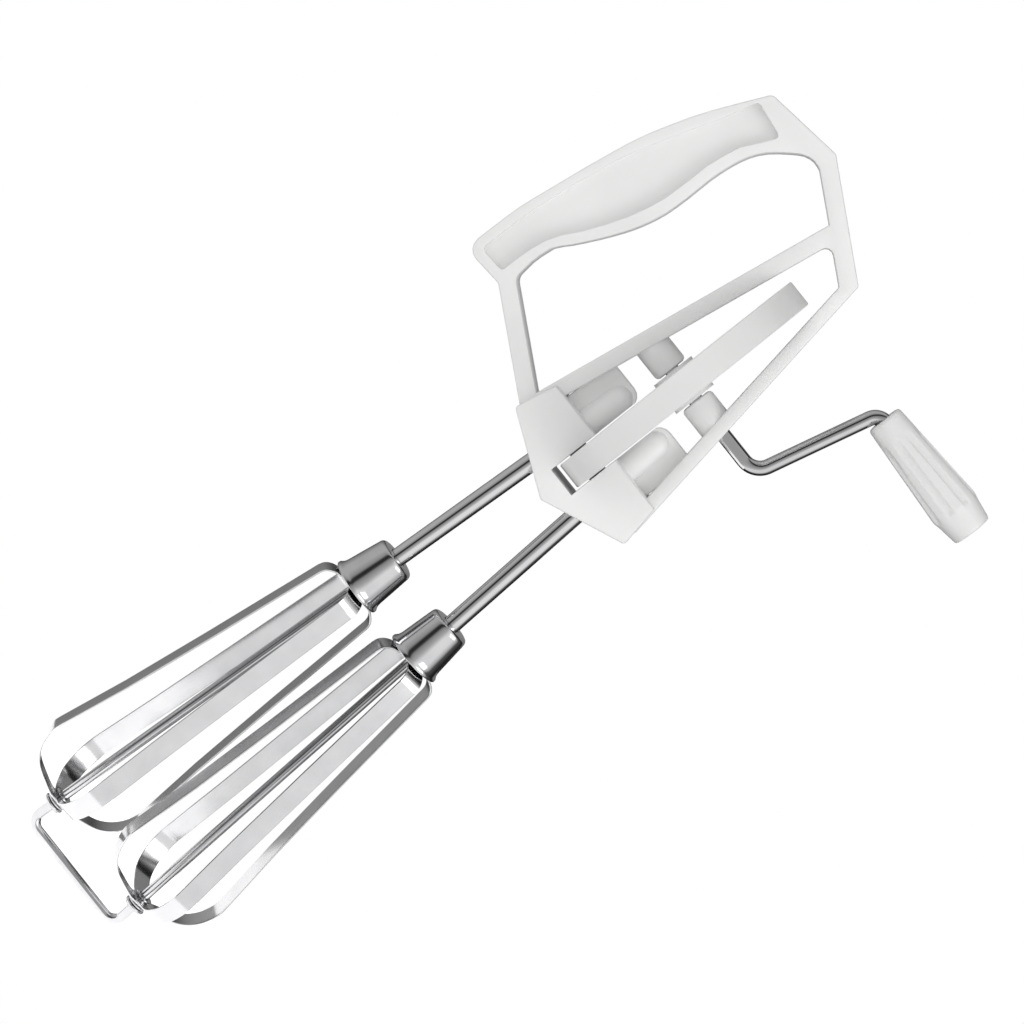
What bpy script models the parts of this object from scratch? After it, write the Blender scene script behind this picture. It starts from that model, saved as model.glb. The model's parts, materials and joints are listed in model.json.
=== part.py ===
"""Hand-crank egg beater: a moulded D-handle frame, a crown-toothed drive wheel
turned by a bent wire crank, two pinions on splayed tubes, two four-blade
whisks and a U-shaped foot wire that both whisks turn on.

Layout coordinates are in millimetres: the foot wire's underside is at height 0,
the wheel plane is the YZ plane, and the crank knob is on the +X side.  The root
empty shifts all of it so that the origin is in the middle of the hand grip.
"""

import math

import bmesh
import bpy
from mathutils import Matrix, Vector

for old in list(bpy.data.objects):
    bpy.data.objects.remove(old, do_unlink=True)

MM = 0.001

# ---- driving dimensions, mm -------------------------------------------------
GRIP = (-53.0, 256.0)        # middle of the hand grip in the layout: X, height
AXLE_H = 231.95              # height of the crank axle
FRAME_HALF = 5.75            # half depth of the frame's bars and grip
BLOCK_HALF = 10.0            # half depth of the gearbox block
WEB_HALF = 1.3               # half thickness of the web between bars and block
RECESS_DEPTH = 4.0           # depth of the grip's recess, each side
EDGE = 0.7                   # edge rounding of the moulded frame
SLOT_HALF = 4.65             # half width of the slot the wheel turns in
SLOT_FLOOR = 187.9           # height of that slot's floor
BOSS_R = 5.2                 # axle bosses on the bars
BOSS_IN = 5.6                # distance of their inner ends from the wheel plane

WHEEL_R = 42.05              # drive wheel
WHEEL_HALF = 4.1
WEB_FACE = 1.2               # half thickness of the wheel's web
WHEEL_TEETH = 44
TOOTH_TOP = 4.0              # tooth tips, distance from the wheel plane
TOOTH_IN = 32.0              # tooth ring, inner and outer radius
TOOTH_OUT = 38.2
HUB_R = 6.8
HUB_HALF = 5.2

PINION_TEETH = 8
PINION_TIP = 7.5
PINION_ROOT = 4.65
PINION_HALF = 2.65           # half length of the pinion
PINION_H = 197.0             # height of the pinions' middle
SHAFT_X = 9.24               # distance of each shaft from the wheel plane there
SPLAY = math.radians(3.04)   # lean of each shaft

TUBE_R = 2.75
TUBE_BORE = 1.85
WIRE_R = 1.55                # foot wire
WIRE_TOP = 15.0              # its upper ends, above the pinions' middle
FOOT_BEND = 3.75

STRIP_W = 6.3                # whisk strips
STRIP_T = 0.6
PHASE_LEFT = math.radians(18.7)
PHASE_RIGHT = math.radians(26.3)
CAP_TOP = -60.8              # top of the whisk cap, along the shaft

ROD_R = 2.2                  # crank
CRANK_X = 32.2               # corner where the rod turns up
THROW_X = 41.05              # corner where it turns out into the knob
THROW = 38.3
KNOB_X0 = 43.0
KNOB_X1 = 83.5

RUN = 0.25                   # gap left between pieces that touch


# ---- scene helpers ----------------------------------------------------------
def collection(name, hidden):
    made = bpy.data.collections.new(name)
    bpy.context.scene.collection.children.link(made)
    made.hide_render = hidden
    return made


PARTS = collection("egg_beater", False)
CUTTERS = collection("cutters", True)


def material(name, colour, metallic, roughness):
    made = bpy.data.materials.new(name)
    made.use_nodes = True
    shader = made.node_tree.nodes["Principled BSDF"]
    shader.inputs["Base Color"].default_value = (*colour, 1.0)
    shader.inputs["Metallic"].default_value = metallic
    shader.inputs["Roughness"].default_value = roughness
    made.diffuse_color = (*colour, 1.0)
    return made


def empty(name, parent, matrix):
    made = bpy.data.objects.new(name, None)
    PARTS.objects.link(made)
    made.parent = parent
    made.matrix_local = matrix
    return made


def place(x, height, angle=0.0):
    """Layout position in the frame plane, turned about +Y."""
    move = Matrix.Translation(Vector((x, 0.0, height)) * MM)
    return move @ Matrix.Rotation(angle, 4, "Y")


def add(name, mesh, parent, matrix, look):
    made = bpy.data.objects.new(name, mesh)
    PARTS.objects.link(made)
    made.parent = parent
    made.matrix_local = matrix
    made.data.materials.clear()
    made.data.materials.append(material(name, *look))
    return made


def tool(name, mesh, parent, matrix):
    made = bpy.data.objects.new(name, mesh)
    CUTTERS.objects.link(made)
    made.parent = parent
    made.matrix_local = matrix
    made.hide_render = True
    made.display_type = "WIRE"
    return made


def boolean(obj, other, operation):
    step = obj.modifiers.new(other.name, "BOOLEAN")
    step.operation = operation
    # The exact solver leaves open slivers on the frame's many crossing shells.
    step.solver = "MANIFOLD" if obj.name == "frame_body" else "EXACT"
    step.object = other


# ---- mesh helpers: all take millimetres -------------------------------------
def finish(name, bm):
    bmesh.ops.recalc_face_normals(bm, faces=bm.faces)
    mesh = bpy.data.meshes.new(name)
    bm.to_mesh(mesh)
    bm.free()
    return mesh


def revolve(name, profile, sides):
    """Closed profile of (radius, z) turned about Z.  A radius of 0 is a pole."""
    bm = bmesh.new()
    rings = []
    for radius, z in profile:
        if radius == 0.0:
            rings.append([bm.verts.new((0.0, 0.0, z * MM))] * sides)
            continue
        ring = []
        for k in range(sides):
            turn = 2.0 * math.pi * k / sides
            x = radius * math.cos(turn) * MM
            y = radius * math.sin(turn) * MM
            ring.append(bm.verts.new((x, y, z * MM)))
        rings.append(ring)
    for i, ring in enumerate(rings):
        after = rings[(i + 1) % len(rings)]
        for k in range(sides):
            j = (k + 1) % sides
            corners = []
            for vert in (ring[k], ring[j], after[j], after[k]):
                if vert not in corners:
                    corners.append(vert)
            if len(corners) > 2:
                bm.faces.new(corners)
    return finish(name, bm)


def box(name, low, high):
    bm = bmesh.new()
    bmesh.ops.create_cube(bm, size=1.0)
    for vert in bm.verts:
        for axis in range(3):
            side = vert.co[axis] + 0.5
            vert.co[axis] = (low[axis] + side * (high[axis] - low[axis])) * MM
    return finish(name, bm)


def fillet(points, steps):
    """Rounds each (x, y, radius) corner of a closed outline."""
    out = []
    count = len(points)
    for i, (x, y, radius) in enumerate(points):
        here = Vector((x, y))
        if radius == 0.0:
            out.append(here)
            continue
        back = (Vector(points[i - 1][:2]) - here).normalized()
        on = (Vector(points[(i + 1) % count][:2]) - here).normalized()
        half = back.angle(on) / 2.0
        reach = radius / math.tan(half)
        centre = here + (back + on).normalized() * (radius / math.sin(half))
        start = here + back * reach - centre
        end = here + on * reach - centre
        sweep = start.angle_signed(end)
        for k in range(steps + 1):
            turn = Matrix.Rotation(-sweep * k / steps, 2)
            out.append(centre + turn @ start)
    return out


def flow(points, steps):
    """Smooth open run through the given points."""
    out = []
    last = len(points) - 1
    for i in range(last):
        p0 = Vector(points[max(i - 1, 0)])
        p1 = Vector(points[i])
        p2 = Vector(points[i + 1])
        p3 = Vector(points[min(i + 2, last)])
        for k in range(steps):
            t = k / steps
            a = 2.0 * p1 + (p2 - p0) * t
            b = (2.0 * p0 - 5.0 * p1 + 4.0 * p2 - p3) * t * t
            c = (3.0 * p1 - p0 - 3.0 * p2 + p3) * t * t * t
            out.append((a + b + c) / 2.0)
    out.append(Vector(points[last]))
    return out


def plate(name, loops, half, edge, centre=0.0):
    """Flat plate in the XZ plane: outline first, then holes."""
    curve = bpy.data.curves.new(name, "CURVE")
    curve.dimensions = "2D"
    curve.fill_mode = "BOTH"
    curve.extrude = (half - edge) * MM
    curve.bevel_depth = edge * MM
    curve.bevel_resolution = 0 if edge < 0.5 else 1
    curve.offset = -edge * MM
    for loop in loops:
        spline = curve.splines.new("POLY")
        spline.points.add(len(loop) - 1)
        for point, spot in zip(spline.points, loop):
            point.co = (spot[0] * MM, spot[1] * MM, 0.0, 1.0)
        spline.use_cyclic_u = True
    source = bpy.data.objects.new(name + "_outline", curve)
    CUTTERS.objects.link(source)
    bpy.context.view_layer.update()
    graph = bpy.context.evaluated_depsgraph_get()
    mesh = bpy.data.meshes.new_from_object(source.evaluated_get(graph))
    bpy.data.objects.remove(source)
    bm = bmesh.new()
    bm.from_mesh(mesh)
    bmesh.ops.remove_doubles(bm, verts=bm.verts, dist=0.00001)
    for vert in bm.verts:
        x, y, z = vert.co
        vert.co = (x, centre * MM - z, y)
    return finish(name, bm)


def wire(name, path, radius, resolution):
    curve = bpy.data.curves.new(name, "CURVE")
    curve.dimensions = "3D"
    curve.bevel_depth = radius * MM
    curve.bevel_resolution = resolution
    curve.use_fill_caps = True
    spline = curve.splines.new("POLY")
    spline.points.add(len(path) - 1)
    for point, spot in zip(spline.points, path):
        point.co = (spot[0] * MM, 0.0, spot[1] * MM, 1.0)
    source = bpy.data.objects.new(name + "_path", curve)
    CUTTERS.objects.link(source)
    bpy.context.view_layer.update()
    graph = bpy.context.evaluated_depsgraph_get()
    mesh = bpy.data.meshes.new_from_object(source.evaluated_get(graph))
    bpy.data.objects.remove(source)
    bm = bmesh.new()
    bm.from_mesh(mesh)
    bmesh.ops.remove_doubles(bm, verts=bm.verts, dist=0.00001)
    return finish(name, bm)


def pocket(name, radius, back, half):
    """Prism along Z: a half circle at the front, straight sides to the back."""
    outline = [(radius, back)]
    for k in range(17):
        turn = -math.pi * k / 16.0
        outline.append((radius * math.cos(turn), radius * math.sin(turn)))
    outline.append((-radius, back))
    bm = bmesh.new()
    low = [bm.verts.new(Vector((x, y, -half)) * MM) for x, y in outline]
    high = [bm.verts.new(Vector((x, y, half)) * MM) for x, y in outline]
    count = len(outline)
    for k in range(count):
        j = (k + 1) % count
        bm.faces.new((low[k], low[j], high[j], high[k]))
    bm.faces.new(low)
    bm.faces.new(high)
    return finish(name, bm)


# ---- layout -----------------------------------------------------------------
WHITE = ((0.86, 0.86, 0.85), 0.0, 0.35)
STEEL = ((0.66, 0.66, 0.67), 1.0, 0.22)

root = empty("layout", None, Matrix.Translation(Vector((-GRIP[0], 0.0, -GRIP[1])) * MM))
shafts = {
    "left": empty("shaft_left", root, place(-SHAFT_X, PINION_H, SPLAY)),
    "right": empty("shaft_right", root, place(SHAFT_X, PINION_H, -SPLAY)),
}
axle = empty("axle", root, place(0.0, AXLE_H))
AT_HOME = Matrix.Identity(4)
ALONG_X = Matrix.Rotation(math.pi / 2.0, 4, "Y")


# ---- frame: one white moulding ----------------------------------------------
grip_outer = flow(
    [
        (-69.15, 216.0),
        (-68.7, 226.9),
        (-66.7, 241.6),
        (-64.9, 253.4),
        (-62.6, 265.6),
        (-59.6, 275.8),
        (-56.1, 285.5),
        (-50.2, 298.6),
    ],
    3,
)
outer = [
    (9.0, 287.9, 1.2),
    (24.4, 195.4, 0.0),
    (23.4, 191.2, 0.0),
    (0.1, 181.8, 0.0),
    (-23.6, 191.4, 0.0),
    (-55.7, 208.9, 1.5),
    (-69.3, 207.9, 4.0),
]
outer += [(spot.x, spot.y, 0.0) for spot in grip_outer]
outer += [(-48.4, 302.5, 2.2), (-24.2, 306.0, 1.6)]
outer = fillet(outer, 4)

hole = [Vector((-9.8, 292.2)), Vector((-24.5, 197.9))]
hole += fillet([(-24.5, 197.9, 0.0), (-53.9, 213.9, 3.2), (-54.3, 222.0, 0.0)], 4)[1:-1]
hole += flow(
    [
        (-54.4, 220.0),
        (-53.8, 226.9),
        (-51.1, 231.8),
        (-47.6, 238.7),
        (-44.6, 245.5),
        (-42.6, 251.4),
        (-41.2, 258.2),
        (-40.8, 266.0),
        (-40.8, 273.8),
        (-40.2, 280.6),
        (-38.9, 286.4),
        (-36.5, 291.3),
        (-32.5, 296.1),
        (-29.5, 298.9),
        (-26.5, 300.0),
        (-23.7, 299.7),
    ],
    2,
)
window = fillet(
    [
        (-5.2, 289.4, 2.2),
        (5.7, 283.5, 0.6),
        (18.8, 203.0, 0.0),
        (-18.8, 203.0, 0.0),
    ],
    4,
)
frame_mesh = plate("frame_plate", [outer, hole, window], FRAME_HALF, EDGE)
frame = add("frame_body", frame_mesh, root, AT_HOME, WHITE)

block_outline = fillet(
    [
        (-22.4, 203.9, 0.0),
        (22.4, 203.9, 0.0),
        (25.0, 191.0, 1.2),
        (0.1, 180.2, 1.5),
        (-25.0, 191.0, 1.2),
    ],
    3,
)
block = tool("block", plate("block", [block_outline], BLOCK_HALF, EDGE), root, AT_HOME)
boolean(frame, block, "UNION")

web_outline = fillet(
    [
        (-18.2, 201.0, 0.0),
        (18.2, 201.0, 0.0),
        (18.2, 220.4, 0.0),
        (4.2, 220.4, 4.0),
        (4.2, 214.0, 0.0),
        (-4.2, 214.0, 0.0),
        (-4.2, 220.3, 4.0),
        (-18.2, 220.3, 0.0),
    ],
    4,
)
web = tool("web", plate("web", [web_outline], WEB_HALF, 0.3), root, AT_HOME)
boolean(frame, web, "UNION")

boss_profile = [
    (0.0, 0.0),
    (BOSS_R, 0.0),
    (BOSS_R, 9.0),
    (BOSS_R - 0.35, 9.75),
    (BOSS_R - 1.1, 10.1),
    (0.0, 10.1),
]
for side, sign in (("left", -1.0), ("right", 1.0)):
    facing = Matrix.Rotation(-sign * math.pi / 2.0, 4, "Y")
    spot = Matrix.Translation(Vector((sign * (BOSS_IN + 10.1), 0.0, 0.0)) * MM)
    boss = tool("boss_" + side, revolve("boss", boss_profile, 28), axle, spot @ facing)
    boolean(frame, boss, "UNION")
    dome = [(0.0, -2.0), (4.2, -2.0), (4.2, 18.0)]
    for k in range(1, 5):
        turn = math.radians(22.5 * k)
        dome.append((4.2 * math.cos(turn) if k < 4 else 0.0, 18.0 + 4.2 * math.sin(turn)))
    bullet = tool("bullet_" + side, revolve("bullet", dome, 24), shafts[side], AT_HOME)
    boolean(frame, bullet, "UNION")

recess_outline = fillet(
    [
        (-49.3, 298.3, 1.5),
        (-37.4, 296.8, 1.2),
        (-39.9, 291.3, 0.0),
        (-42.4, 286.4, 0.0),
        (-43.4, 281.6, 0.0),
        (-44.2, 275.8, 0.0),
        (-44.2, 269.0, 0.0),
        (-44.5, 261.2, 0.0),
        (-45.5, 255.3, 0.0),
        (-47.0, 249.5, 0.0),
        (-49.5, 242.6, 0.0),
        (-52.5, 235.7, 0.0),
        (-54.8, 231.6, 0.0),
        (-56.5, 226.9, 0.0),
        (-57.3, 222.0, 0.0),
        (-57.6, 217.0, 0.0),
        (-57.6, 211.9, 1.2),
        (-66.4, 211.2, 1.8),
        (-66.2, 220.0, 0.0),
        (-65.7, 230.0, 0.0),
        (-64.3, 241.6, 0.0),
        (-61.2, 259.2, 0.0),
        (-57.1, 272.9, 0.0),
        (-52.1, 287.4, 0.0),
    ],
    3,
)
for side, sign in (("front", -1.0), ("back", 1.0)):
    middle = sign * (FRAME_HALF - RECESS_DEPTH + 6.0)
    cut = plate("recess_" + side, [recess_outline], 6.0, 0.3, middle)
    boolean(frame, tool("recess_" + side, cut, root, AT_HOME), "DIFFERENCE")

slot = box("slot", (-SLOT_HALF, -30.0, SLOT_FLOOR), (SLOT_HALF, 30.0, 225.0))
boolean(frame, tool("slot", slot, root, AT_HOME), "DIFFERENCE")

# Each pinion sits in a round-fronted pocket that is open to the back and to the slot.
for side in ("left", "right"):
    cut = pocket("pocket", PINION_TIP + 0.45, 14.0, PINION_HALF + 0.35)
    boolean(frame, tool("pocket_" + side, cut, shafts[side], AT_HOME), "DIFFERENCE")
    bore = revolve(
        "tube_bore",
        [(0.0, -24.0), (TUBE_R + RUN, -24.0), (TUBE_R + RUN, 6.0), (0.0, 6.0)],
        24,
    )
    boolean(frame, tool("tube_bore_" + side, bore, shafts[side], AT_HOME), "DIFFERENCE")
    grip_hole = revolve(
        "wire_socket",
        [(0.0, 4.0), (WIRE_R + RUN, 4.0), (WIRE_R + RUN, WIRE_TOP + RUN), (0.0, WIRE_TOP + RUN)],
        16,
    )
    boolean(frame, tool("wire_socket_" + side, grip_hole, shafts[side], AT_HOME), "DIFFERENCE")

axle_bore = revolve(
    "axle_bore",
    [(0.0, -14.6), (ROD_R + RUN, -14.6), (ROD_R + RUN, 30.0), (0.0, 30.0)],
    24,
)
boolean(frame, tool("axle_bore", axle_bore, axle, ALONG_X), "DIFFERENCE")


# ---- drive wheel: crown teeth on both faces, inside a plain rim -------------
def crown_wheel(name):
    pitch = 2.0 * math.pi / WHEEL_TEETH
    mean = (TOOTH_IN + TOOTH_OUT) / 2.0
    tip = 0.66 / mean
    foot = 1.68 / mean
    half = [
        (ROD_R + RUN, HUB_HALF, HUB_HALF),
        (HUB_R, HUB_HALF, HUB_HALF),
        (HUB_R, WEB_FACE, WEB_FACE),
        (TOOTH_IN - 0.3, WEB_FACE, WEB_FACE),
        (TOOTH_IN, WEB_FACE, TOOTH_TOP),
        (TOOTH_OUT, WEB_FACE, TOOTH_TOP),
        (TOOTH_OUT + 0.4, WHEEL_HALF, WHEEL_HALF),
        (WHEEL_R - 0.35, WHEEL_HALF, WHEEL_HALF),
        (WHEEL_R, WHEEL_HALF - 0.35, WHEEL_HALF - 0.35),
    ]
    section = [(r, low, high) for r, low, high in half]
    section += [(r, -low, -high) for r, low, high in reversed(half)]
    bm = bmesh.new()
    rings = []
    for tooth in range(WHEEL_TEETH):
        middle = -math.pi / 2.0 + tooth * pitch
        for offset, raised in ((-foot, False), (-tip, True), (tip, True), (foot, False)):
            turn = middle + offset
            ring = []
            for radius, low, high in section:
                x = high if raised else low
                y = radius * math.cos(turn)
                z = radius * math.sin(turn)
                ring.append(bm.verts.new(Vector((x, y, z)) * MM))
            rings.append(ring)
    for i, ring in enumerate(rings):
        after = rings[(i + 1) % len(rings)]
        for k in range(len(section)):
            j = (k + 1) % len(section)
            bm.faces.new((ring[k], ring[j], after[j], after[k]))
    return finish(name, bm)


wheel = add("drive_wheel", crown_wheel("drive_wheel"), axle, AT_HOME, WHITE)

# The rod has two swaged ears that key it to the wheel's hub.
EAR = 3.2
keyway = box(
    "keyway",
    (-HUB_HALF - 1.0, -0.9 - RUN, -EAR - RUN),
    (2.5 + RUN, 0.9 + RUN, EAR + RUN),
)
boolean(wheel, tool("keyway", keyway, axle, AT_HOME), "DIFFERENCE")


# ---- crank rod, knob and the ring that holds the knob on --------------------
rod_path = fillet(
    [
        (-14.2, 0.0, 0.0),
        (CRANK_X, 0.0, 5.8),
        (THROW_X, THROW, 4.0),
        (79.0, THROW, 0.0),
    ],
    6,
)
rod = add("crank_rod", wire("crank_rod", rod_path, ROD_R, 4), axle, AT_HOME, STEEL)
ears = box("ears", (-2.5, -0.9, -EAR), (2.5, 0.9, EAR))
boolean(rod, tool("ears", ears, axle, AT_HOME), "UNION")

knob_axis = empty("knob_axis", axle, place(0.0, THROW))
knob_profile = [
    (ROD_R + RUN, 3.0),
    (3.4, 0.0),
    (4.6, 0.0),
    (5.2, 0.35),
    (5.45, 1.1),
    (6.05, 12.0),
    (6.75, 23.0),
    (7.3, 31.6),
    (7.25, 32.6),
    (6.3, 38.4),
    (5.9, 40.1),
    (5.5, 40.5),
    (0.0, 40.5),
    (0.0, 37.0),
    (ROD_R + RUN, 37.0),
    (ROD_R + RUN, 34.2),
    (3.6, 34.2),
    (3.6, 32.2),
    (ROD_R + RUN, 32.2),
]
at_knob = Matrix.Translation(Vector((KNOB_X0, 0.0, 0.0)) * MM) @ ALONG_X
knob = add("crank_knob", revolve("crank_knob", knob_profile, 32), knob_axis, at_knob, WHITE)
for k in range(8):
    flute = revolve(
        "flute",
        [(0.0, -13.0), (0.75, -12.6), (1.15, -11.0), (1.25, 12.2), (0.75, 13.6), (0.0, 14.0)],
        10,
    )
    spin = Matrix.Rotation(math.radians(15.0 + 45.0 * k), 4, "Z")
    lean = Matrix.Rotation(math.radians(3.6), 4, "Y")
    out = Matrix.Translation(Vector((7.45, 0.0, 19.8)) * MM)
    cutter = tool("flute_%d" % k, flute, knob_axis, at_knob @ spin @ out @ lean)
    boolean(knob, cutter, "DIFFERENCE")

ring_profile = [(ROD_R + 0.15, 32.6), (3.2, 32.6), (3.2, 33.8), (ROD_R + 0.15, 33.8)]
add("knob_snap_ring", revolve("knob_snap_ring", ring_profile, 20), knob_axis, at_knob, STEEL)


# ---- pinions ----------------------------------------------------------------
def pinion_mesh(name):
    step = 2.0 * math.pi / PINION_TEETH
    outline = []
    for tooth in range(PINION_TEETH):
        middle = (tooth + 0.5) * step
        for radius, half in (
            (PINION_ROOT, 0.285),
            (5.4, 0.215),
            (6.355, 0.162),
            (7.0, 0.112),
            (PINION_TIP, 0.062),
        ):
            outline.append((radius, middle - half))
        for radius, half in (
            (PINION_TIP, 0.062),
            (7.0, 0.112),
            (6.355, 0.162),
            (5.4, 0.215),
            (PINION_ROOT, 0.285),
        ):
            outline.append((radius, middle + half))
    bore = TUBE_R + RUN
    bm = bmesh.new()
    levels = []
    for z in (-PINION_HALF, PINION_HALF):
        outside = []
        inside = []
        for radius, turn in outline:
            x = math.cos(turn)
            y = math.sin(turn)
            outside.append(bm.verts.new(Vector((radius * x, radius * y, z)) * MM))
            inside.append(bm.verts.new(Vector((bore * x, bore * y, z)) * MM))
        levels.append((outside, inside))
    low, high = levels
    count = len(outline)
    for k in range(count):
        j = (k + 1) % count
        bm.faces.new((low[0][k], low[0][j], high[0][j], high[0][k]))
        bm.faces.new((low[1][k], low[1][j], high[1][j], high[1][k]))
        bm.faces.new((low[0][k], low[0][j], low[1][j], low[1][k]))
        bm.faces.new((high[0][k], high[0][j], high[1][j], high[1][k]))
    return finish(name, bm)


# ---- whisks -----------------------------------------------------------------
def strip_path(hub_lift):
    """Half of a whisk loop, (radius, distance along the shaft), top end first."""
    side = [(3.75, -64.0), (3.75, -73.4)]
    side += [(4.3, -75.2), (5.7, -76.4), (7.8, -77.1), (9.5, -78.0), (10.7, -79.3), (11.2, -81.0)]
    side += [(14.1, -117.8), (16.7, -147.0), (19.3, -168.8)]
    side += [(19.4, -171.0), (18.95, -173.7), (17.7, -176.8), (15.6, -179.6)]
    side += [(12.6, -181.8), (7.8, -183.6 + 0.5 * hub_lift), (3.7, -184.8 + 0.95 * hub_lift)]
    side += [(0.0, -184.95 + hub_lift)]
    return side


def strip_loop(name, hub_lift):
    side = strip_path(hub_lift)
    path = [Vector(p) for p in side]
    path += [Vector((-r, z)) for r, z in reversed(side[:-1])]
    bm = bmesh.new()
    rings = []
    for i, here in enumerate(path):
        back = here - path[max(i - 1, 0)]
        on = path[min(i + 1, len(path) - 1)] - here
        if i == 0:
            back = on
        if i == len(path) - 1:
            on = back
        along = (back.normalized() + on.normalized()).normalized()
        spread = STRIP_T / 2.0 / max(0.5, along.dot(on.normalized()))
        normal = Vector((-along.y, along.x)) * spread
        ring = []
        for offset, y in ((normal, -1.0), (normal, 1.0), (-normal, 1.0), (-normal, -1.0)):
            spot = here + offset
            ring.append(bm.verts.new(Vector((spot.x, y * STRIP_W / 2.0, spot.y)) * MM))
        rings.append(ring)
    for ring, after in zip(rings, rings[1:]):
        for k in range(4):
            j = (k + 1) % 4
            bm.faces.new((ring[k], ring[j], after[j], after[k]))
    bm.faces.new(rings[0])
    bm.faces.new(rings[-1])
    return finish(name, bm)


cap_profile = [
    (TUBE_R + RUN, 0.0),
    (5.5, 0.0),
    (6.35, 0.35),
    (6.8, 1.2),
    (6.9, 2.2),
    (7.45, 7.4),
    (7.95, 12.6),
    (8.35, 13.6),
    (8.95, 14.5),
    (8.95, 15.3),
    (8.3, 15.3),
    (7.45, 13.6),
    (7.2, 12.4),
    (6.75, 7.4),
    (6.2, 2.4),
    (5.9, 1.3),
    (5.3, 0.8),
    (TUBE_R + RUN, 0.8),
]
eyelet_profile = [
    (WIRE_R + RUN, -182.75),
    (2.9, -182.75),
    (2.9, -183.35),
    (2.15, -183.35),
    (2.15, -185.6),
    (3.2, -185.6),
    (3.2, -186.2),
    (WIRE_R + RUN, -186.2),
]
washer_profile = [
    (WIRE_R + 0.2, -186.5),
    (3.5, -186.5),
    (3.5, -187.6),
    (WIRE_R + 0.2, -187.6),
]
for side, phase in (("left", PHASE_LEFT), ("right", PHASE_RIGHT)):
    shaft = shafts[side]
    tube_profile = [(TUBE_BORE, 5.7), (TUBE_R, 5.7), (TUBE_R, -75.0), (TUBE_BORE, -75.0)]
    add("drive_tube_" + side, revolve("tube", tube_profile, 20), shaft, AT_HOME, STEEL)
    add("pinion_" + side, pinion_mesh("pinion"), shaft, AT_HOME, WHITE)
    cap = [(r, CAP_TOP - depth) for r, depth in cap_profile]
    add("whisk_cap_" + side, revolve("cap", cap, 32), shaft, AT_HOME, STEEL)
    spin = Matrix.Rotation(phase, 4, "Z")
    rivet_hole = revolve(
        "rivet_hole",
        [(0.0, -190.0), (2.15 + RUN, -190.0), (2.15 + RUN, -180.0), (0.0, -180.0)],
        16,
    )
    drill = tool("rivet_hole_" + side, rivet_hole, shaft, AT_HOME)
    for layer, lift, quarter in (("under", 0.0, 0.0), ("over", 1.0, math.pi / 2.0)):
        turned = spin @ Matrix.Rotation(quarter, 4, "Z")
        name = "blade_loop_%s_%s" % (layer, side)
        loop = add(name, strip_loop(name, lift), shaft, turned, STEEL)
        boolean(loop, drill, "DIFFERENCE")
    add("hub_eyelet_" + side, revolve("eyelet", eyelet_profile, 20), shaft, AT_HOME, STEEL)
    add("thrust_washer_" + side, revolve("washer", washer_profile, 24), shaft, AT_HOME, STEEL)


# ---- foot wire --------------------------------------------------------------
def on_shaft(distance):
    """Layout point at this distance above the pinions' middle, left shaft."""
    x = -SHAFT_X + distance * math.sin(SPLAY)
    return x, PINION_H + distance * math.cos(SPLAY)


top_x, top_h = on_shaft(WIRE_TOP)
foot_x = on_shaft((WIRE_R - PINION_H) / math.cos(SPLAY))[0]
foot_path = fillet(
    [
        (top_x, top_h, 0.0),
        (foot_x, WIRE_R, FOOT_BEND),
        (-foot_x, WIRE_R, FOOT_BEND),
        (-top_x, top_h, 0.0),
    ],
    5,
)
add("foot_wire", wire("foot_wire", foot_path, WIRE_R, 3), root, AT_HOME, STEEL)
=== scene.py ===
"""Hand-crank egg beater: finished surfaces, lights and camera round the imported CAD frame."""

import json
import math

import bmesh
import bpy
from mathutils import Matrix, Vector


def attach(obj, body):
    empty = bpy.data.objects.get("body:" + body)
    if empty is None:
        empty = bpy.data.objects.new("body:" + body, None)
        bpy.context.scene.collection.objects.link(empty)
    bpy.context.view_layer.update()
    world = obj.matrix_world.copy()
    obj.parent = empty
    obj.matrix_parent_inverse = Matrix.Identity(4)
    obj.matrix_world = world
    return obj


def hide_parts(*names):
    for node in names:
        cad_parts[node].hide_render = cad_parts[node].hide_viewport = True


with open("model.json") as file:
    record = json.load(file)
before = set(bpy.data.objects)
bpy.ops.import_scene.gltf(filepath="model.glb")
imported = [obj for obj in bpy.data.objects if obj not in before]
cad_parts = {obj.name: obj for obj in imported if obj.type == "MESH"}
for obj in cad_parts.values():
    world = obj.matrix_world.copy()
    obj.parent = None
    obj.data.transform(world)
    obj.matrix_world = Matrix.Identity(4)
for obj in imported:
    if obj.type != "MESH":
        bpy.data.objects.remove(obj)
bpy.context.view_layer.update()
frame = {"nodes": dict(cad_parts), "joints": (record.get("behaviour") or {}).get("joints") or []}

MM = 0.001
GRIP = Vector((-53.0, 0.0, 256.0))   # the frame's origin in the layout, mm
JOINTS = {j["name"]: j for j in frame["joints"]}


def at(x, height, y=0.0):
    """Layout position in mm (foot at height 0, wheel plane at x 0) as metres in the frame."""
    return (Vector((x, y, height)) - GRIP) * MM


# ---- node materials ---------------------------------------------------------
def shader_tree(name):
    made = bpy.data.materials.new(name)
    made.use_nodes = True
    tree = made.node_tree
    return made, tree, tree.nodes["Principled BSDF"]


EVEN = (1.0, 1.0, 1.0)   # noise not stretched along any axis


def noise(tree, scale, detail, stretch, seed):
    """3D noise in object space, stretched along an axis by a (x, y, z) factor."""
    spot = tree.nodes.new("ShaderNodeTexCoord")
    mapping = tree.nodes.new("ShaderNodeMapping")
    mapping.inputs["Scale"].default_value = stretch
    mapping.inputs["Location"].default_value = (seed, seed * 0.7, -seed)
    tree.links.new(spot.outputs["Object"], mapping.inputs["Vector"])
    made = tree.nodes.new("ShaderNodeTexNoise")
    made.inputs["Scale"].default_value = scale
    made.inputs["Detail"].default_value = detail
    tree.links.new(mapping.outputs["Vector"], made.inputs["Vector"])
    return made.outputs["Fac"]


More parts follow.
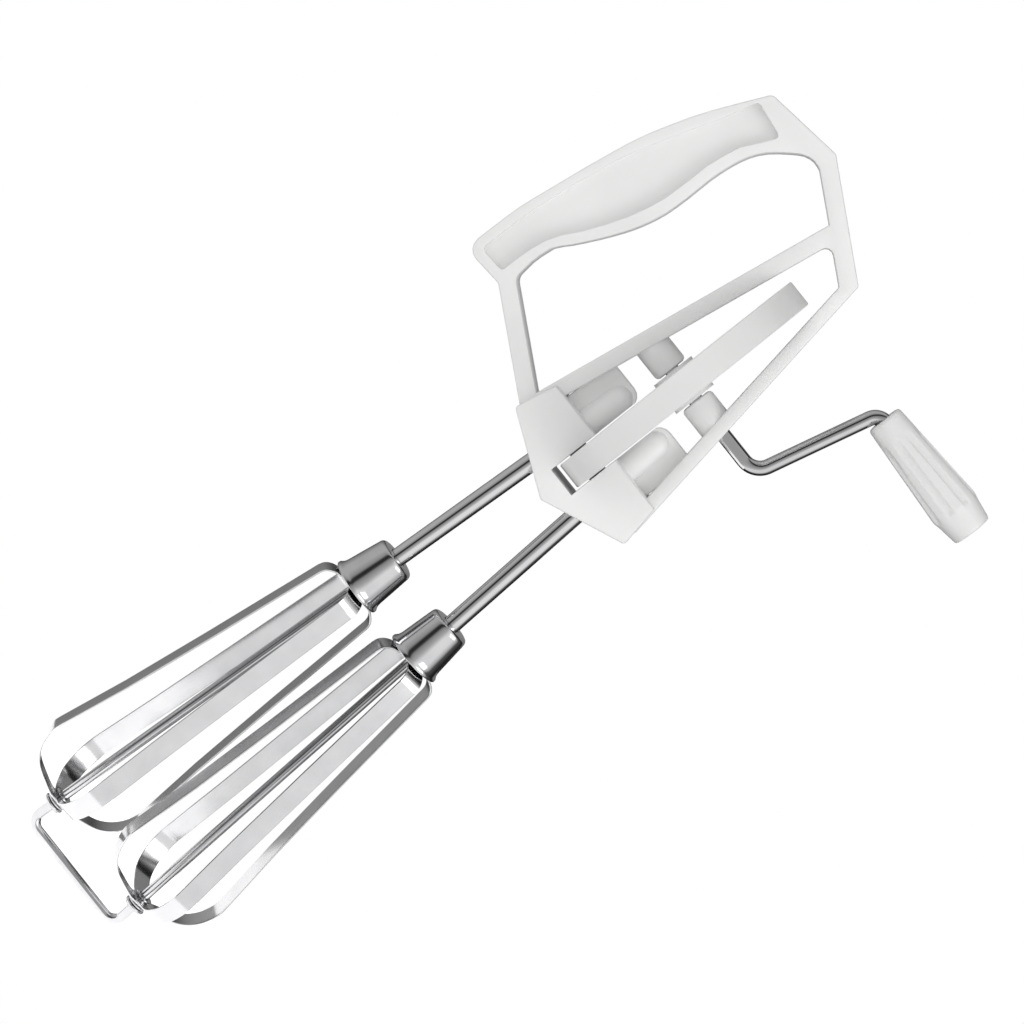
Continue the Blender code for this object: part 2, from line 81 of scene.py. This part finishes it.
def ramp(tree, source, low, high):
    """Source from 0.3..0.7 mapped to colours or greys from low to high."""
    made = tree.nodes.new("ShaderNodeValToRGB")
    made.color_ramp.elements[0].position = 0.3
    made.color_ramp.elements[1].position = 0.7
    made.color_ramp.elements[0].color = (*low, 1.0)
    made.color_ramp.elements[1].color = (*high, 1.0)
    tree.links.new(source, made.inputs["Fac"])
    return made.outputs["Color"]


def bump(tree, shader, source, strength, distance):
    made = tree.nodes.new("ShaderNodeBump")
    made.inputs["Strength"].default_value = strength
    made.inputs["Distance"].default_value = distance
    tree.links.new(source, made.inputs["Height"])
    tree.links.new(made.outputs["Normal"], shader.inputs["Normal"])


def plastic(name, low, high, rough, seed):
    """Moulded white: faint cloudiness, mottled gloss and a fine grain."""
    made, tree, shader = shader_tree(name)
    cloud = noise(tree, 55.0, 3.0, EVEN, seed)
    tree.links.new(ramp(tree, cloud, low, high), shader.inputs["Base Color"])
    mottled = noise(tree, 320.0, 4.0, EVEN, seed + 3.0)
    grey = [(r, r, r) for r in rough]
    tree.links.new(ramp(tree, mottled, *grey), shader.inputs["Roughness"])
    fine = noise(tree, 700.0, 2.0, EVEN, seed + 7.0)
    bump(tree, shader, fine, 0.05, 0.00002)
    shader.inputs["IOR"].default_value = 1.49
    shader.inputs["Subsurface Weight"].default_value = 0.12
    shader.inputs["Subsurface Radius"].default_value = (1.0, 0.95, 0.9)
    shader.inputs["Subsurface Scale"].default_value = 0.0015
    return made


def steel(name, low, high, rough, stretch, seed, scratch=0.05):
    """Bright steel, its scratches drawn out along the axis where stretch is small."""
    made, tree, shader = shader_tree(name)
    shader.inputs["Metallic"].default_value = 1.0
    cloud = noise(tree, 120.0, 4.0, EVEN, seed)
    tree.links.new(ramp(tree, cloud, low, high), shader.inputs["Base Color"])
    drawn = noise(tree, 500.0, 2.0, stretch, seed + 2.0)
    grey = [(r, r, r) for r in rough]
    tree.links.new(ramp(tree, drawn, *grey), shader.inputs["Roughness"])
    bump(tree, shader, drawn, scratch, 0.00002)
    return made


WHITE_LOW = (0.87, 0.87, 0.865)
WHITE_HIGH = (0.90, 0.90, 0.895)
LOOKS = {
    "frame": plastic("moulded_white", WHITE_LOW, WHITE_HIGH, (0.34, 0.44), 1.0),
    "wheel": plastic(
        "wheel_white", (0.79, 0.79, 0.785), (0.82, 0.82, 0.815), (0.30, 0.40), 5.0
    ),
    "knob": plastic("knob_white", (0.82, 0.82, 0.815), (0.85, 0.85, 0.845), (0.30, 0.38), 9.0),
    "pinion": plastic("pinion_white", (0.74, 0.74, 0.73), (0.78, 0.78, 0.77), (0.38, 0.48), 13.0),
    "rod": steel(
        "rod_steel", (0.62, 0.62, 0.63), (0.68, 0.68, 0.69), (0.08, 0.12), (0.3, 1.0, 0.3), 2.0, 0.01
    ),
    "tube": steel(
        "tube_chrome", (0.70, 0.70, 0.71), (0.75, 0.75, 0.76), (0.06, 0.11), (1.0, 1.0, 0.02), 4.0
    ),
    "cap": steel(
        "cap_chrome", (0.64, 0.64, 0.65), (0.72, 0.72, 0.73), (0.09, 0.16), (1.0, 1.0, 0.2), 6.0
    ),
    "blade": steel(
        "blade_steel", (0.66, 0.66, 0.67), (0.73, 0.73, 0.74), (0.15, 0.19), (1.0, 1.0, 0.02), 8.0, 0.04
    ),
    "wire": steel(
        "wire_steel", (0.60, 0.60, 0.61), (0.67, 0.67, 0.68), (0.12, 0.2), (1.0, 1.0, 0.05), 10.0
    ),
    "eyelet": steel(
        "eyelet_steel", (0.60, 0.60, 0.61), (0.68, 0.68, 0.69), (0.14, 0.22), EVEN, 12.0
    ),
}


# ---- mesh helpers -----------------------------------------------------------
def shown(name, mesh, matrix, look, smooth=35.0):
    """New piece with smooth faces and creases sharper than the given angle."""
    bm = bmesh.new()
    bm.from_mesh(mesh)
    bmesh.ops.recalc_face_normals(bm, faces=bm.faces)
    limit = math.radians(smooth)
    for face in bm.faces:
        face.smooth = True
    for edge in bm.edges:
        edge.smooth = edge.is_manifold and edge.calc_face_angle(0.0) < limit
    bm.to_mesh(mesh)
    bm.free()
    made = bpy.data.objects.new(name, mesh)
    bpy.context.scene.collection.objects.link(made)
    made.matrix_world = matrix
    mesh.materials.clear()
    mesh.materials.append(LOOKS[look])
    return made


def soften(obj, width, segments, angle=35.0):
    """Rounds the edges sharper than angle, width in mm."""
    step = obj.modifiers.new("edges", "BEVEL")
    step.width = width * MM
    step.segments = segments
    step.limit_method = "ANGLE"
    step.angle_limit = math.radians(angle)
    step.harden_normals = False
    step.use_clamp_overlap = True


def keep_for(obj, body, *nodes):
    """The piece rides on the body and stands for these CAD nodes."""
    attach(obj, body)
    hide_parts(*nodes)


def remade(source, body, look, smooth=35.0):
    """The CAD node's own shape, welded and with flat areas as single faces."""
    bm = bmesh.new()
    bm.from_mesh(frame["nodes"][source].data)
    bmesh.ops.remove_doubles(bm, verts=bm.verts, dist=0.000002)
    bmesh.ops.dissolve_limit(bm, angle_limit=math.radians(0.6), verts=bm.verts, edges=bm.edges)
    mesh = bpy.data.meshes.new(source + "_finish")
    bm.to_mesh(mesh)
    bm.free()
    made = shown(source + "_finish", mesh, Matrix.Identity(4), look, smooth)
    keep_for(made, body, source)
    return made


def revolve(name, profile, sides, wave=None):
    """Closed (radius, z) profile turned about Z, radius changed by wave(turn, radius, z)."""
    bm = bmesh.new()
    rings = []
    for radius, z in profile:
        if radius == 0.0:
            rings.append([bm.verts.new((0.0, 0.0, z * MM))] * sides)
            continue
        ring = []
        for k in range(sides):
            turn = 2.0 * math.pi * k / sides
            r = wave(turn, radius, z) if wave else radius
            ring.append(bm.verts.new(Vector((r * math.cos(turn), r * math.sin(turn), z)) * MM))
        rings.append(ring)
    for i, ring in enumerate(rings):
        after = rings[(i + 1) % len(rings)]
        for k in range(sides):
            j = (k + 1) % sides
            corners = []
            for vert in (ring[k], ring[j], after[j], after[k]):
                if vert not in corners:
                    corners.append(vert)
            if len(corners) > 2:
                bm.faces.new(corners)
    mesh = bpy.data.meshes.new(name)
    bm.to_mesh(mesh)
    bm.free()
    return mesh


def fillet(points, steps):
    """Open path of (x, height, radius) with each inner corner rounded."""
    out = [Vector(points[0][:2])]
    for i in range(1, len(points) - 1):
        here = Vector(points[i][:2])
        radius = points[i][2]
        back = (Vector(points[i - 1][:2]) - here).normalized()
        on = (Vector(points[i + 1][:2]) - here).normalized()
        half = back.angle(on) / 2.0
        reach = radius / math.tan(half)
        centre = here + (back + on).normalized() * (radius / math.sin(half))
        start = here + back * reach - centre
        sweep = start.angle_signed(here + on * reach - centre)
        for k in range(steps + 1):
            out.append(centre + Matrix.Rotation(-sweep * k / steps, 2) @ start)
    out.append(Vector(points[-1][:2]))
    return out


def wire(name, path, radius, look):
    """Round wire along layout points, as a mesh."""
    sides = 32
    bm = bmesh.new()
    rings = []
    for i, here in enumerate(path):
        before = path[max(i - 1, 0)]
        after = path[min(i + 1, len(path) - 1)]
        along = ((here - before).normalized() + (after - here).normalized()).normalized()
        normal = Vector((-along.y, along.x))
        ring = []
        for k in range(sides):
            turn = 2.0 * math.pi * k / sides
            flat = here + normal * (radius * math.cos(turn))
            ring.append(bm.verts.new(at(flat.x, flat.y, radius * math.sin(turn))))
        rings.append(ring)
    for ring, after in zip(rings, rings[1:]):
        for k in range(sides):
            j = (k + 1) % sides
            bm.faces.new((ring[k], ring[j], after[j], after[k]))
    bm.faces.new(rings[0])
    bm.faces.new(rings[-1])
    mesh = bpy.data.meshes.new(name)
    bm.to_mesh(mesh)
    bm.free()
    return shown(name, mesh, Matrix.Identity(4), look)


# ---- the frame's own figures ------------------------------------------------
LEFT_AXIS = Vector(JOINTS["whisk_left_spin"]["axis"])
SPLAY = math.atan2(LEFT_AXIS.x, LEFT_AXIS.z)
SHAFT = {}
for side, sign in (("left", 1.0), ("right", -1.0)):
    middle = Vector(JOINTS["whisk_%s_spin" % side]["pos_m"])
    SHAFT[side] = Matrix.Translation(middle) @ Matrix.Rotation(sign * SPLAY, 4, "Y")

# Layout sizes in mm: heights are above the foot, x is from the wheel's plane.
AXLE_H = 231.95
THROW = 38.3          # from the axle to the knob's own axis
PINION_H = 197.0
SHAFT_X = 9.24        # of each shaft, at the pinions' height
ROD_R = 2.2
WIRE_R = 1.55
WIRE_BEND = 3.75      # the foot wire's bend, to its centre line
CRANK_X = (-14.2, 32.2, 41.05, 79.0)   # rod's inner end, its two bends, its outer end
CAP_TOP = -60.8       # along the shaft, from the pinion

# ---- white mouldings --------------------------------------------------------
remade("frame_body", "frame", "frame", 28.0)
wheel = remade("drive_wheel", "drive", "wheel", 25.0)
soften(wheel, 0.18, 2)
for side in ("left", "right"):
    remade("pinion_" + side, "whisk_" + side, "pinion", 30.0)

KNOB_X0 = 43.0
FLUTES = 8
FLUTE_TURN = math.radians(15.0)
FLUTE_HALF = 1.25
FLUTE_DEEP = 0.62
FLUTE_ENDS = (6.0, 34.0)
KNOB_NECK = 5.42
KNOB_TAPER = 0.0619   # radius gained for each mm of length


def fluted(turn, radius, z):
    """Shallow round-ended flutes down the outside of the knob."""
    first, last = FLUTE_ENDS
    if radius < 5.0 or z < first or z > last:
        return radius
    run = min(1.0, (z - first) / 5.0) * min(1.0, max(0.0, (33.4 - z) / 1.6))
    step = 2.0 * math.pi / FLUTES
    off = ((turn - FLUTE_TURN) / step + 0.5) % 1.0 - 0.5
    off *= step * radius
    groove = max(0.0, 1.0 - (off / FLUTE_HALF) ** 2)
    return radius - FLUTE_DEEP * run * math.sqrt(groove)


knob_profile = [(2.45, 3.0), (3.4, 0.0), (4.4, 0.0), (4.9, 0.12), (5.25, 0.45), (KNOB_NECK, 1.0)]
for k in range(1, 45):
    z = 1.0 + 0.7 * k
    if z < 31.3:
        knob_profile.append((KNOB_NECK + (z - 1.0) * KNOB_TAPER, z))
knob_profile += [(7.3, 31.7), (7.3, 32.2), (7.22, 32.7), (7.05, 33.4), (6.8, 34.6), (6.3, 38.0)]
knob_profile += [(6.1, 39.4), (5.95, 40.1), (5.7, 40.4), (5.4, 40.5), (0.0, 40.5)]
knob_profile += [(0.0, 37.0), (2.45, 37.0), (2.45, 34.2), (3.6, 34.2), (3.6, 32.2), (2.45, 32.2)]
ALONG_X = Matrix.Rotation(math.pi / 2.0, 4, "Y")
at_knob = Matrix.Translation(at(KNOB_X0, AXLE_H + THROW)) @ ALONG_X
knob = shown("crank_knob_finish", revolve("knob", knob_profile, 192, fluted), at_knob, "knob", 50.0)
keep_for(knob, "knob", "crank_knob")

remade("knob_snap_ring", "drive", "eyelet")

# ---- crank rod and foot wire ------------------------------------------------
rod_path = fillet(
    [
        (CRANK_X[0], AXLE_H, 0.0),
        (CRANK_X[1], AXLE_H, 5.8),
        (CRANK_X[2], AXLE_H + THROW, 4.0),
        (CRANK_X[3], AXLE_H + THROW, 0.0),
    ],
    16,
)
rod = wire("crank_rod_finish", rod_path, ROD_R, "rod")
keep_for(rod, "drive", "crank_rod")


def on_shaft(distance):
    """Layout (x, height) on the left shaft, this far above its pinion."""
    x = -SHAFT_X + distance * math.sin(SPLAY)
    return x, PINION_H + distance * math.cos(SPLAY)


top_x, top_h = on_shaft(15.0)
foot_x = on_shaft((WIRE_R - PINION_H) / math.cos(SPLAY))[0]
foot_path = fillet(
    [
        (top_x, top_h, 0.0),
        (foot_x, WIRE_R, WIRE_BEND),
        (-foot_x, WIRE_R, WIRE_BEND),
        (-top_x, top_h, 0.0),
    ],
    16,
)
foot = wire("foot_wire_finish", foot_path, WIRE_R, "wire")
keep_for(foot, "frame", "foot_wire")


# ---- whisks -----------------------------------------------------------------
def flow(points, steps):
    """Smooth open run through the given points."""
    out = []
    last = len(points) - 1
    for i in range(last):
        p0, p1 = Vector(points[max(i - 1, 0)]), Vector(points[i])
        p2, p3 = Vector(points[i + 1]), Vector(points[min(i + 2, last)])
        for k in range(steps):
            t = k / steps
            a = 2.0 * p1 + (p2 - p0) * t
            b = (2.0 * p0 - 5.0 * p1 + 4.0 * p2 - p3) * t * t
            c = (3.0 * p1 - p0 - 3.0 * p2 + p3) * t * t * t
            out.append((a + b + c) / 2.0)
    out.append(Vector(points[last]))
    return out


def strip_path(lift):
    """Half of a whisk loop as (radius, distance along the shaft), top end first."""
    straight = [Vector((3.75, -64.0))]   # inside the cap
    shoulder = [(3.75, -73.4), (4.3, -75.2), (5.7, -76.4), (7.8, -77.1), (9.5, -78.0)]
    shoulder += [(10.7, -79.3), (11.2, -81.0)]
    side = [Vector((12.65, -99.4)), Vector((14.1, -117.8)), Vector((16.7, -147.0))]
    turn = [(19.3, -168.8), (19.4, -171.0), (18.95, -173.7), (17.7, -176.8), (15.6, -179.6)]
    turn += [(12.6, -181.8), (7.8, -183.6 + 0.5 * lift), (3.7, -184.8 + 0.95 * lift)]
    turn += [(0.0, -184.95 + lift)]
    return straight + flow(shoulder, 4) + side + flow(turn, 5)


def strip_loop(name, lift):
    """One whisk strip: thickness 0.6 mm, with rounded long edges and a slight crown."""
    half = strip_path(lift)
    path = list(half) + [Vector((-p.x, p.y)) for p in reversed(half[:-1])]
    section = [(-3.15, -0.15), (-3.15, 0.15), (-3.02, 0.28), (-1.6, 0.3), (0.0, 0.3), (1.6, 0.3)]
    section += [(3.02, 0.28), (3.15, 0.15), (3.15, -0.15), (3.02, -0.28), (1.6, -0.3)]
    section += [(0.0, -0.3), (-1.6, -0.3), (-3.02, -0.28)]
    bm = bmesh.new()
    rings = []
    for i, here in enumerate(path):
        back = here - path[max(i - 1, 0)]
        on = path[min(i + 1, len(path) - 1)] - here
        if i == 0:
            back = on
        if i == len(path) - 1:
            on = back
        along = (back.normalized() + on.normalized()).normalized()
        normal = Vector((-along.y, along.x)) / max(0.6, along.dot(on.normalized()))
        ring = []
        for y, out in section:
            spot = here + normal * out
            ring.append(bm.verts.new(Vector((spot.x, y, spot.y)) * MM))
        rings.append(ring)
    count = len(section)
    for ring, after in zip(rings, rings[1:]):
        for k in range(count):
            j = (k + 1) % count
            bm.faces.new((ring[k], ring[j], after[j], after[k]))
    bm.faces.new(rings[0])
    bm.faces.new(rings[-1])
    mesh = bpy.data.meshes.new(name)
    bm.to_mesh(mesh)
    bm.free()
    return mesh


cap_profile = [
    (3.0, 0.0), (5.0, 0.0), (5.6, 0.06), (6.1, 0.25), (6.5, 0.6), (6.75, 1.1), (6.87, 1.7),
    (6.95, 2.6), (7.2, 5.0), (7.45, 7.4), (7.7, 10.0), (7.9, 12.0), (8.05, 12.9), (8.3, 13.6),
    (8.65, 14.1), (8.9, 14.45), (8.95, 14.8), (8.93, 15.1), (8.8, 15.28), (8.55, 15.28),
    (8.35, 15.1), (8.1, 14.6), (7.6, 13.9), (7.3, 12.6), (6.75, 7.4), (6.2, 2.4), (5.9, 1.3),
    (5.3, 0.8), (3.0, 0.8),
]
eyelet_profile = [
    (1.8, -182.95), (2.0, -182.8), (2.6, -182.75), (2.85, -182.85), (2.9, -183.1),
    (2.8, -183.32), (2.15, -183.35), (2.15, -185.6), (3.0, -185.6), (3.18, -185.7),
    (3.2, -185.95), (3.1, -186.15), (2.7, -186.2), (1.8, -186.2),
]
washer_profile = [
    (1.75, -186.5), (3.3, -186.5), (3.45, -186.6), (3.5, -186.8), (3.5, -187.3),
    (3.4, -187.52), (3.2, -187.6), (1.75, -187.6),
]
tube_profile = [(1.85, 5.7), (2.55, 5.7), (2.75, 5.5), (2.75, -74.8), (2.55, -75.0), (1.85, -75.0)]
# How far each whisk is turned about its shaft at rest, as in the photograph.
PHASE = {"left": math.radians(18.7), "right": math.radians(26.3)}
for side in ("left", "right"):
    rides = "whisk_" + side
    shaft = SHAFT[side]
    tube = shown("drive_tube_%s_finish" % side, revolve("tube", tube_profile, 64), shaft, "tube")
    keep_for(tube, rides, "drive_tube_" + side)
    cap = [(r, CAP_TOP - depth) for r, depth in cap_profile]
    bell = shown("whisk_cap_%s_finish" % side, revolve("cap", cap, 96), shaft, "cap", 60.0)
    keep_for(bell, rides, "whisk_cap_" + side)
    drill = bpy.data.objects.new(
        "rivet_hole_" + side,
        revolve("hole", [(0.0, -190.0), (2.4, -190.0), (2.4, -180.0), (0.0, -180.0)], 48),
    )
    bpy.context.scene.collection.objects.link(drill)
    drill.matrix_world = shaft
    drill.hide_render = True
    drill.display_type = "WIRE"
    bpy.context.view_layer.update()
    for layer, lift, quarter in (("under", 0.0, 0.0), ("over", 1.0, math.pi / 2.0)):
        name = "blade_loop_%s_%s" % (layer, side)
        turned = shaft @ Matrix.Rotation(PHASE[side] + quarter, 4, "Z")
        loop = shown(name + "_finish", strip_loop(name, lift), turned, "blade", 40.0)
        cut = loop.modifiers.new("rivet hole", "BOOLEAN")
        cut.operation = "DIFFERENCE"
        cut.solver = "EXACT"
        cut.object = drill
        graph = bpy.context.evaluated_depsgraph_get()
        pierced = bpy.data.meshes.new_from_object(loop.evaluated_get(graph))
        loop.modifiers.clear()
        loop.data = pierced
        keep_for(loop, rides, name)
    turned_eyelet = revolve("eyelet", eyelet_profile, 64)
    eyelet = shown("hub_eyelet_%s_finish" % side, turned_eyelet, shaft, "eyelet", 60.0)
    keep_for(eyelet, rides, "hub_eyelet_" + side)
    turned_washer = revolve("washer", washer_profile, 64)
    washer = shown("thrust_washer_%s_finish" % side, turned_washer, shaft, "eyelet", 60.0)
    keep_for(washer, "frame", "thrust_washer_" + side)
    bpy.data.objects.remove(drill, do_unlink=True)


# ---- floor, light and camera ------------------------------------------------
FLOOR_HALF = 0.09     # m, small so that the blades don't mirror it
FLOOR_GLOW = 0.85


def floor_plane():
    bm = bmesh.new()
    bmesh.ops.create_grid(bm, x_segments=1, y_segments=1, size=FLOOR_HALF)
    mesh = bpy.data.meshes.new("floor")
    bm.to_mesh(mesh)
    bm.free()
    made = bpy.data.objects.new("floor", mesh)
    bpy.context.scene.collection.objects.link(made)
    made.location = at(0.0, -0.4)
    look, tree, shader = shader_tree("floor_white")
    pale = noise(tree, 3.0, 2.0, EVEN, 20.0)
    white = ramp(tree, pale, (0.93, 0.93, 0.93), (0.95, 0.95, 0.95))
    tree.links.new(white, shader.inputs["Base Color"])
    shader.inputs["Roughness"].default_value = 0.9
    shader.inputs["Emission Color"].default_value = (1.0, 1.0, 1.0, 1.0)
    shader.inputs["Emission Strength"].default_value = FLOOR_GLOW
    mesh.materials.append(look)


floor_plane()

world = bpy.data.worlds.new("studio")
bpy.context.scene.world = world
world.use_nodes = True
sky = world.node_tree
sky.nodes.clear()
out = sky.nodes.new("ShaderNodeOutputWorld")
plain = sky.nodes.new("ShaderNodeBackground")
plain.inputs["Color"].default_value = (1.0, 1.0, 1.0, 1.0)
plain.inputs["Strength"].default_value = 1.0
studio = sky.nodes.new("ShaderNodeBackground")
studio.inputs["Strength"].default_value = 1.0
spot = sky.nodes.new("ShaderNodeTexCoord")
split = sky.nodes.new("ShaderNodeSeparateXYZ")
sky.links.new(spot.outputs["Generated"], split.inputs["Vector"])
flip = sky.nodes.new("ShaderNodeMath")
flip.operation = "MULTIPLY"
flip.inputs[1].default_value = -1.0
sky.links.new(split.outputs["Y"], flip.inputs[0])
turn = sky.nodes.new("ShaderNodeMath")
turn.operation = "ARCTAN2"
sky.links.new(split.outputs["X"], turn.inputs[0])
sky.links.new(flip.outputs["Value"], turn.inputs[1])
unit = sky.nodes.new("ShaderNodeMapRange")
unit.inputs["From Min"].default_value = -math.pi
unit.inputs["From Max"].default_value = math.pi
sky.links.new(turn.outputs["Value"], unit.inputs["Value"])
bands = sky.nodes.new("ShaderNodeValToRGB")
# Grey by compass direction: 0.5 is straight at the front, 0.75 the crank side, 0 and 1 the back.
STOPS = [
    (0.0, 0.04), (0.05, 0.08), (0.104, 0.24), (0.146, 0.36), (0.20, 0.50), (0.30, 0.52),
    (0.37, 0.34), (0.40, 0.03), (0.435, 0.03), (0.46, 0.30), (0.52, 0.52), (0.57, 0.95),
    (0.67, 0.95), (0.72, 0.60), (0.76, 0.10), (0.84, 0.02), (0.95, 0.02), (1.0, 0.04),
]
while len(bands.color_ramp.elements) < len(STOPS):
    bands.color_ramp.elements.new(0.5)
for element, (position, grey) in zip(bands.color_ramp.elements, STOPS):
    element.position = position
    element.color = (grey, grey, grey, 1.0)
sky.links.new(unit.outputs["Result"], bands.inputs["Fac"])
sky.links.new(bands.outputs["Color"], studio.inputs["Color"])
# The backdrop is plain white, and the grey bands are what lights the object.
ray = sky.nodes.new("ShaderNodeLightPath")
mix = sky.nodes.new("ShaderNodeMixShader")
sky.links.new(ray.outputs["Is Camera Ray"], mix.inputs["Fac"])
sky.links.new(studio.outputs["Background"], mix.inputs[1])
sky.links.new(plain.outputs["Background"], mix.inputs[2])
sky.links.new(mix.outputs["Shader"], out.inputs["Surface"])


def area(name, place, target, size, power, glossy=True):
    """A square lamp. One that isn't glossy lights the plastic, and the steel doesn't mirror it."""
    light = bpy.data.lights.new(name, "AREA")
    light.size = size
    light.energy = power
    made = bpy.data.objects.new(name, light)
    bpy.context.scene.collection.objects.link(made)
    made.location = place
    made.rotation_euler = (target - place).to_track_quat("-Z", "Y").to_euler()
    made.visible_glossy = glossy


middle = at(0.0, 180.0)
area("key", at(900.0, 700.0, -700.0), middle, 0.7, 3.4)
area("fill", at(-500.0, 500.0, -1100.0), middle, 1.2, 2.9, glossy=False)
area("side", at(-1000.0, 150.0, -500.0), middle, 1.2, 3.2, glossy=False)
area("low", at(0.0, 30.0, -1100.0), middle, 0.8, 1.0, glossy=False)
area("back", at(300.0, 600.0, 1100.0), middle, 1.2, 1.0)

camera = bpy.data.objects.new("camera", bpy.data.cameras.new("camera"))
bpy.context.scene.collection.objects.link(camera)
bpy.context.scene.camera = camera
camera.data.sensor_width = 36.0
camera.data.lens = 104.4
stand = at(0.0, 271.0, -850.0)
aim = at(-2.2, 170.5)
look = (aim - stand).normalized()
level = Vector((1.0, 0.0, 0.0))
level = (level - look * level.dot(look)).normalized()
upright = level.cross(look)
ROLL = math.radians(51.5)   # the beater lies aslant in the picture
right = level * math.cos(ROLL) + upright * math.sin(ROLL)
top = -level * math.sin(ROLL) + upright * math.cos(ROLL)
turned = Matrix((right, top, -look)).transposed().to_4x4()
camera.matrix_world = Matrix.Translation(stand) @ turned
camera.data.clip_start = 0.05
camera.data.clip_end = 20.0
camera.data.dof.use_dof = False

bpy.context.scene.view_settings.view_transform = "Standard"
